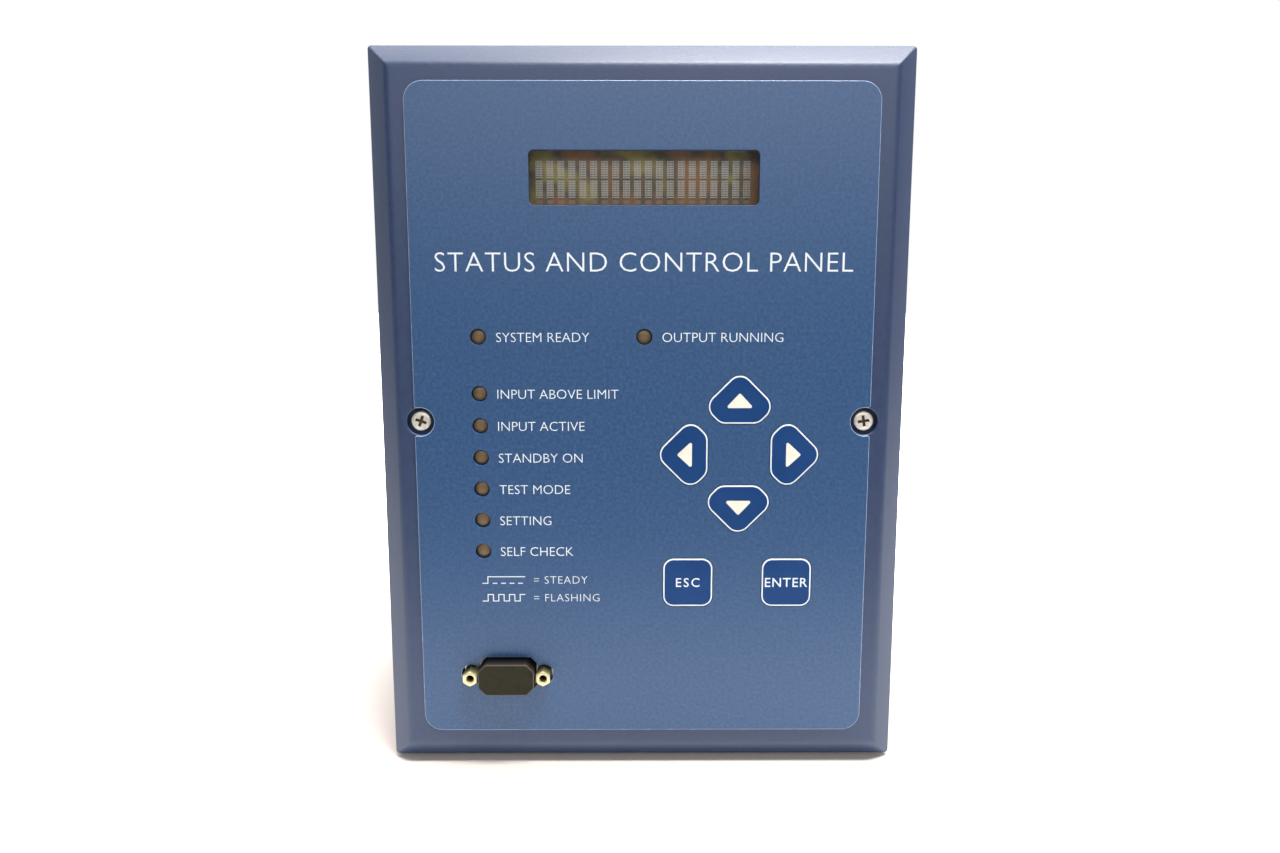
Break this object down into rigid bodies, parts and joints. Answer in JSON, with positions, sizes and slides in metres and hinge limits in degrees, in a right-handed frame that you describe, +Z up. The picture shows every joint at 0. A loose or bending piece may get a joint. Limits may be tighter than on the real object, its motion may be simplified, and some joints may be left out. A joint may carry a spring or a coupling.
{
  "type": "protection relay",
  "caption": "Panel-mounted protection relay: bevelled front with display, status lamps, arrow and command keys, capped serial port, and a sheet-metal chassis with rear terminals.",
  "frame": {"origin": "centre of the gasket's rear face, in the plane of the panel's front surface", "axes": "+X to the right seen from the front, +Y into the panel, +Z up"},
  "size_m": [0.176, 0.1607, 0.2416],
  "materials": {
    "bezel_paint": "fine textured blue-grey paint on a cast frame",
    "gasket_foam": "closed-cell black foam",
    "overlay_film": "velvet-finished blue polyester film",
    "key_film": "darker blue embossed film with a white outline",
    "clear_pane": "clear pane",
    "tube_glass": "dark glass of the dot display",
    "circuit_board": "green solder mask over glass epoxy",
    "lamp_resin": "unlit tinted lamp resin",
    "switch_plastic": "black switch and socket plastic",
    "plated_steel": "bright plated steel",
    "yellow_zinc": "pale yellow plating",
    "cap_rubber": "soft black dust cap",
    "chassis_paint": "black powder coat on folded sheet",
    "terminal_plastic": "green terminal plastic",
    "relay_case": "pale relay case",
    "core_steel": "varnished core and coil",
    "sleeve_film": "dark sleeve",
    "coil_tape": "taped coil case",
    "chip_resin": "black chip resin",
    "cell_steel": "coin cell steel",
    "ribbon_film": "grey ribbon insulation"
  },
  "bodies": {
    "housing": {"bezel": "bezel_paint", "panel_gasket": "gasket_foam", "front_overlay": "overlay_film", "display_window": "clear_pane", "front_board": "circuit_board", "front_board_screws": "plated_steel", "status_lamps": "lamp_resin", "key_switches": "switch_plastic", "display_tube": "tube_glass", "display_board": "circuit_board", "display_standoffs": "plated_steel", "port_shell": "plated_steel", "port_insert": "switch_plastic", "port_jackscrews": "yellow_zinc", "front_screws": "plated_steel", "clinch_nuts": "plated_steel", "chassis": "chassis_paint", "top_cover": "chassis_paint", "cover_screws": "plated_steel", "rear_panel": "chassis_paint", "rear_screws": "plated_steel", "ground_stud": "yellow_zinc", "ground_nut": "plated_steel", "output_board": "circuit_board", "main_board": "circuit_board", "board_standoffs": "plated_steel", "board_screws": "plated_steel", "side_screws": "plated_steel", "output_relays": "relay_case", "supply_transformer": "core_steel", "supply_capacitors": "sleeve_film", "current_transformers": "coil_tape", "main_chips": "chip_resin", "clock_battery": "cell_steel", "ribbon_cable": "ribbon_film", "ribbon_sockets": "switch_plastic", "output_headers": "terminal_plastic", "output_plugs": "terminal_plastic", "output_plug_screws": "plated_steel", "input_headers": "terminal_plastic", "input_plugs": "terminal_plastic", "input_plug_screws": "plated_steel", "current_block": "switch_plastic", "current_block_screws": "plated_steel"},
    "up_key": {"key_up": "key_film"},
    "down_key": {"key_down": "key_film"},
    "left_key": {"key_left": "key_film"},
    "right_key": {"key_right": "key_film"},
    "escape_key": {"key_escape": "key_film"},
    "enter_key": {"key_enter": "key_film"},
    "dust_cap": {"port_cap": "cap_rubber"}
  },
  "joints": [
    {"name": "up_key_press", "type": "slide", "parent": "housing", "child": "up_key", "axis": [0, 1, 0], "range_m": [0, 0.0005], "stiffness_N_per_m": 2000, "springref_m": -0.0003},
    {"name": "down_key_press", "type": "slide", "parent": "housing", "child": "down_key", "axis": [0, 1, 0], "range_m": [0, 0.0005], "stiffness_N_per_m": 2000, "springref_m": -0.0003},
    {"name": "left_key_press", "type": "slide", "parent": "housing", "child": "left_key", "axis": [0, 1, 0], "range_m": [0, 0.0005], "stiffness_N_per_m": 2000, "springref_m": -0.0003},
    {"name": "right_key_press", "type": "slide", "parent": "housing", "child": "right_key", "axis": [0, 1, 0], "range_m": [0, 0.0005], "stiffness_N_per_m": 2000, "springref_m": -0.0003},
    {"name": "escape_key_press", "type": "slide", "parent": "housing", "child": "escape_key", "axis": [0, 1, 0], "range_m": [0, 0.0005], "stiffness_N_per_m": 2000, "springref_m": -0.0003},
    {"name": "enter_key_press", "type": "slide", "parent": "housing", "child": "enter_key", "axis": [0, 1, 0], "range_m": [0, 0.0005], "stiffness_N_per_m": 2000, "springref_m": -0.0003},
    {"name": "dust_cap_pull", "type": "slide", "parent": "housing", "child": "dust_cap", "axis": [0, -1, 0], "range_m": [0, 0.012]}
  ]
}
